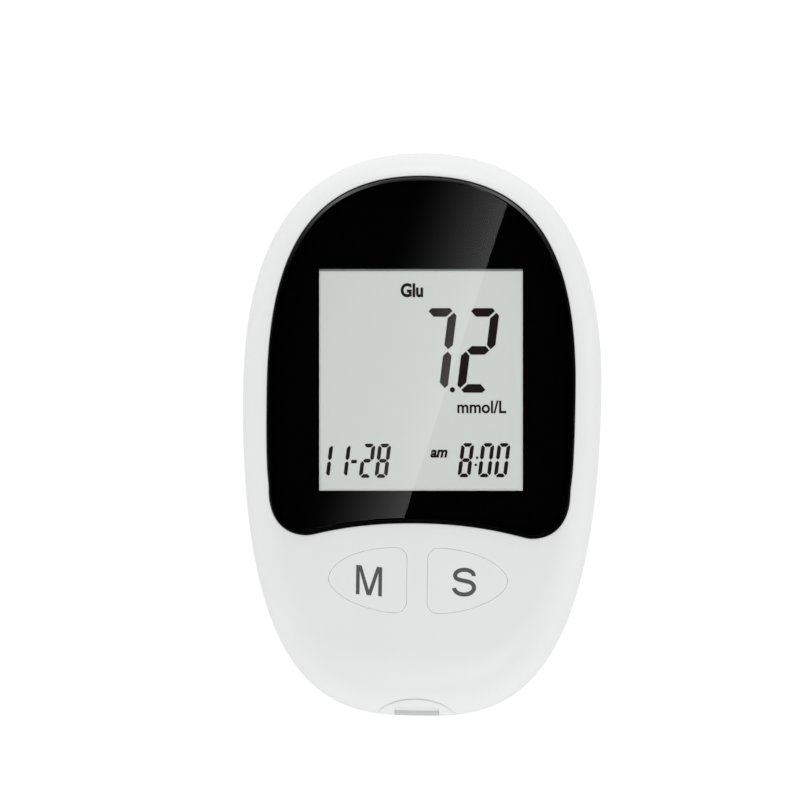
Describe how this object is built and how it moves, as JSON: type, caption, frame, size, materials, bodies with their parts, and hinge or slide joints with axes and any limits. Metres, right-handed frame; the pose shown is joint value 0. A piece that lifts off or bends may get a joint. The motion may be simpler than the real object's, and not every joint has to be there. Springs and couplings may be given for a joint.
{
  "type": "blood glucose meter",
  "caption": "Hand-held egg-shaped meter with a large display under a black window, a pair of push buttons, a test strip slot at the nose and a sliding battery door in the back.",
  "frame": {"origin": "middle of the housing's outline, on the surface that its back rests on", "axes": "+Z out of the display, +Y along the meter to its top end, +X to the right of the display"},
  "size_m": [0.06, 0.0942, 0.0219],
  "materials": {
    "housing": "white, satin moulded",
    "button": "white, satin moulded",
    "port_insert": "white, satin moulded",
    "window": "clear, polished",
    "window_print": "black print behind a clear plate",
    "display_glass": "polished glass",
    "reflector": "pale grey green film",
    "inner_plastic": "off white, matt moulded",
    "rubber_strip": "pink, layered",
    "circuit_board": "green solder mask",
    "moulded_black": "black, moulded",
    "capacitor": "ochre, moulded",
    "gold_contact": "gold plated",
    "plated_steel": "nickel plated",
    "screw_steel": "zinc plated",
    "battery_cell": "plain printed jacket"
  },
  "bodies": {
    "housing": {"front_cover": "housing", "rear_cover": "housing", "display_window": "window", "window_print": "window_print", "strip_port_insert": "port_insert", "memory_switch_body": "moulded_black", "set_switch_body": "moulded_black", "display_reflector": "reflector", "display_rear_glass": "display_glass", "display_front_glass": "display_glass", "display_frame": "inner_plastic", "display_connector_strip": "rubber_strip", "circuit_board": "circuit_board", "controller_chip": "moulded_black", "memory_chip": "moulded_black", "voltage_regulator": "moulded_black", "sensor_amplifier_chip": "moulded_black", "supply_capacitor": "capacitor", "buzzer": "moulded_black", "clock_crystal": "plated_steel", "strip_connector": "moulded_black", "strip_contact_1": "gold_contact", "strip_contact_2": "gold_contact", "strip_contact_3": "gold_contact", "strip_contact_4": "gold_contact", "battery_cell_1": "battery_cell", "battery_cell_2": "battery_cell", "battery_spring_1": "plated_steel", "battery_spring_2": "plated_steel", "battery_plate_negative": "plated_steel", "battery_plate_positive": "plated_steel", "battery_bridge_plate": "plated_steel", "housing_screw_1": "screw_steel", "housing_screw_2": "screw_steel", "housing_screw_3": "screw_steel", "housing_screw_4": "screw_steel", "board_screw_1": "screw_steel", "board_screw_2": "screw_steel", "board_screw_3": "screw_steel", "board_screw_4": "screw_steel"},
    "memory_key": {"memory_button": "button", "memory_switch_plunger": "inner_plastic"},
    "set_key": {"set_button": "button", "set_switch_plunger": "inner_plastic"},
    "door": {"battery_door": "housing"}
  },
  "joints": [
    {"name": "memory_button_press", "type": "slide", "parent": "housing", "child": "memory_key", "axis": [0, 0, -1], "range_m": [0, 0.0005], "stiffness_N_per_m": 800, "springref_m": -0.0005},
    {"name": "set_button_press", "type": "slide", "parent": "housing", "child": "set_key", "axis": [0, 0, -1], "range_m": [0, 0.0005], "stiffness_N_per_m": 800, "springref_m": -0.0005},
    {"name": "battery_door_slide", "type": "slide", "parent": "housing", "child": "door", "axis": [0, 1, 0], "range_m": [0, 0.05]}
  ]
}
